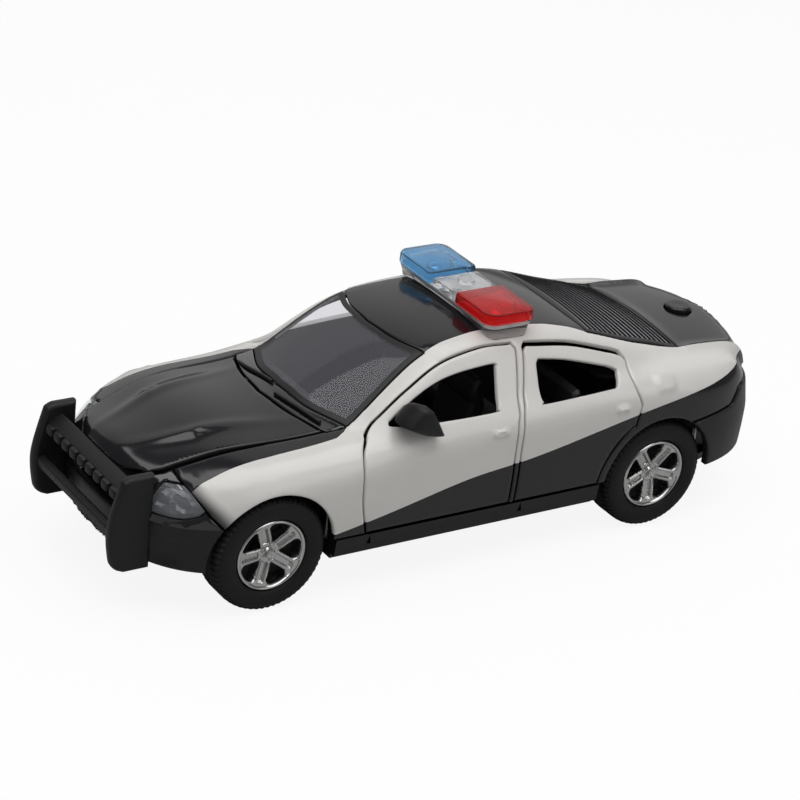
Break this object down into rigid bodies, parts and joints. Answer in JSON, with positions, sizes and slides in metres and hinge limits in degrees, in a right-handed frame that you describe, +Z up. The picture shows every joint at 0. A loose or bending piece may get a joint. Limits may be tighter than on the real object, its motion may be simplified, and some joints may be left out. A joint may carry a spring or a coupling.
{
  "type": "toy car",
  "caption": "Die-cast toy patrol saloon with opening doors and hood, free-rolling wheels, push bar, roof light bar and a press button on the deck.",
  "frame": {"origin": "on the ground under the middle of the car's overall length and width", "axes": "+X forward along the car's length, +Y to the car's left, +Z up"},
  "size_m": [0.1602, 0.0596, 0.0526],
  "materials": {
    "white_paint": "gloss warm white enamel",
    "black_paint": "semi-gloss black enamel",
    "satin_black": "satin black moulding",
    "clear": "clear polished moulding",
    "smoke": "dark grey ribbed moulding",
    "chrome": "bright plated",
    "steel": "plain steel",
    "red_lens": "translucent red",
    "blue_lens": "translucent blue",
    "tyre": "matt black rubber",
    "interior": "matt black moulding",
    "board": "green circuit board"
  },
  "bodies": {
    "body": {"body_shell": "white_paint", "windscreen": "clear", "rear_window": "smoke", "cowl_panel": "black_paint", "front_bumper": "satin_black", "grille": "satin_black", "rear_bumper": "satin_black", "push_bar": "satin_black", "lightbar_base": "clear", "red_lens": "red_lens", "blue_lens": "blue_lens", "red_lamp": "red_lens", "blue_lamp": "blue_lens", "chassis_plate": "satin_black", "battery_cover": "satin_black", "button_cell_1": "steel", "button_cell_2": "steel", "button_cell_3": "steel", "battery_holder": "satin_black", "circuit_board": "board", "button_switch": "interior", "speaker": "interior", "pullback_motor": "interior", "interior_tub": "interior", "rear_bench": "interior", "dashboard": "interior", "steering_wheel": "interior", "engine_block": "interior", "headlight_left": "clear", "headlight_reflector_left": "chrome", "tail_light_left": "red_lens", "front_screw_left": "steel", "rear_screw_left": "steel", "front_seat_left": "interior", "headlight_right": "clear", "headlight_reflector_right": "chrome", "tail_light_right": "red_lens", "front_screw_right": "steel", "rear_screw_right": "steel", "front_seat_right": "interior"},
    "hood": {"hood": "black_paint"},
    "light_button": {"light_button": "black_paint"},
    "front_door_left": {"front_door_left": "white_paint", "mirror_left": "satin_black"},
    "rear_door_left": {"rear_door_left": "white_paint"},
    "front_door_right": {"front_door_right": "white_paint"},
    "rear_door_right": {"rear_door_right": "white_paint"},
    "front_wheels": {"front_axle": "steel", "front_rim_left": "chrome", "front_rim_right": "chrome", "front_tyre_left": "tyre", "front_tyre_right": "tyre"},
    "rear_wheels": {"rear_axle": "steel", "rear_rim_left": "chrome", "rear_rim_right": "chrome", "rear_tyre_left": "tyre", "rear_tyre_right": "tyre"}
  },
  "joints": [
    {"name": "hood_hinge", "type": "hinge", "parent": "body", "child": "hood", "pos_m": [0.033, 0, 0.0339], "axis": [0, -1, 0], "range_deg": [0, 55]},
    {"name": "front_door_left_hinge", "type": "hinge", "parent": "body", "child": "front_door_left", "pos_m": [0.0261, 0.0276, 0.024], "axis": [0, 0, -1], "range_deg": [0, 60]},
    {"name": "rear_door_left_hinge", "type": "hinge", "parent": "body", "child": "rear_door_left", "pos_m": [-0.011, 0.0276, 0.024], "axis": [0, 0, -1], "range_deg": [0, 60]},
    {"name": "front_door_right_hinge", "type": "hinge", "parent": "body", "child": "front_door_right", "pos_m": [0.0261, -0.0276, 0.024], "axis": [0, 0, 1], "range_deg": [0, 60]},
    {"name": "rear_door_right_hinge", "type": "hinge", "parent": "body", "child": "rear_door_right", "pos_m": [-0.011, -0.0276, 0.024], "axis": [0, 0, 1], "range_deg": [0, 60]},
    {"name": "front_wheels_spin", "type": "hinge", "parent": "body", "child": "front_wheels", "pos_m": [0.0485, 0, 0.0127], "axis": [0, 1, 0], "continuous": true},
    {"name": "rear_wheels_spin", "type": "hinge", "parent": "body", "child": "rear_wheels", "pos_m": [-0.0465, 0, 0.0127], "axis": [0, 1, 0], "continuous": true},
    {"name": "light_button_slide", "type": "slide", "parent": "body", "child": "light_button", "axis": [0, 0, -1], "range_m": [0, 0.0008], "stiffness_N_per_m": 300}
  ]
}
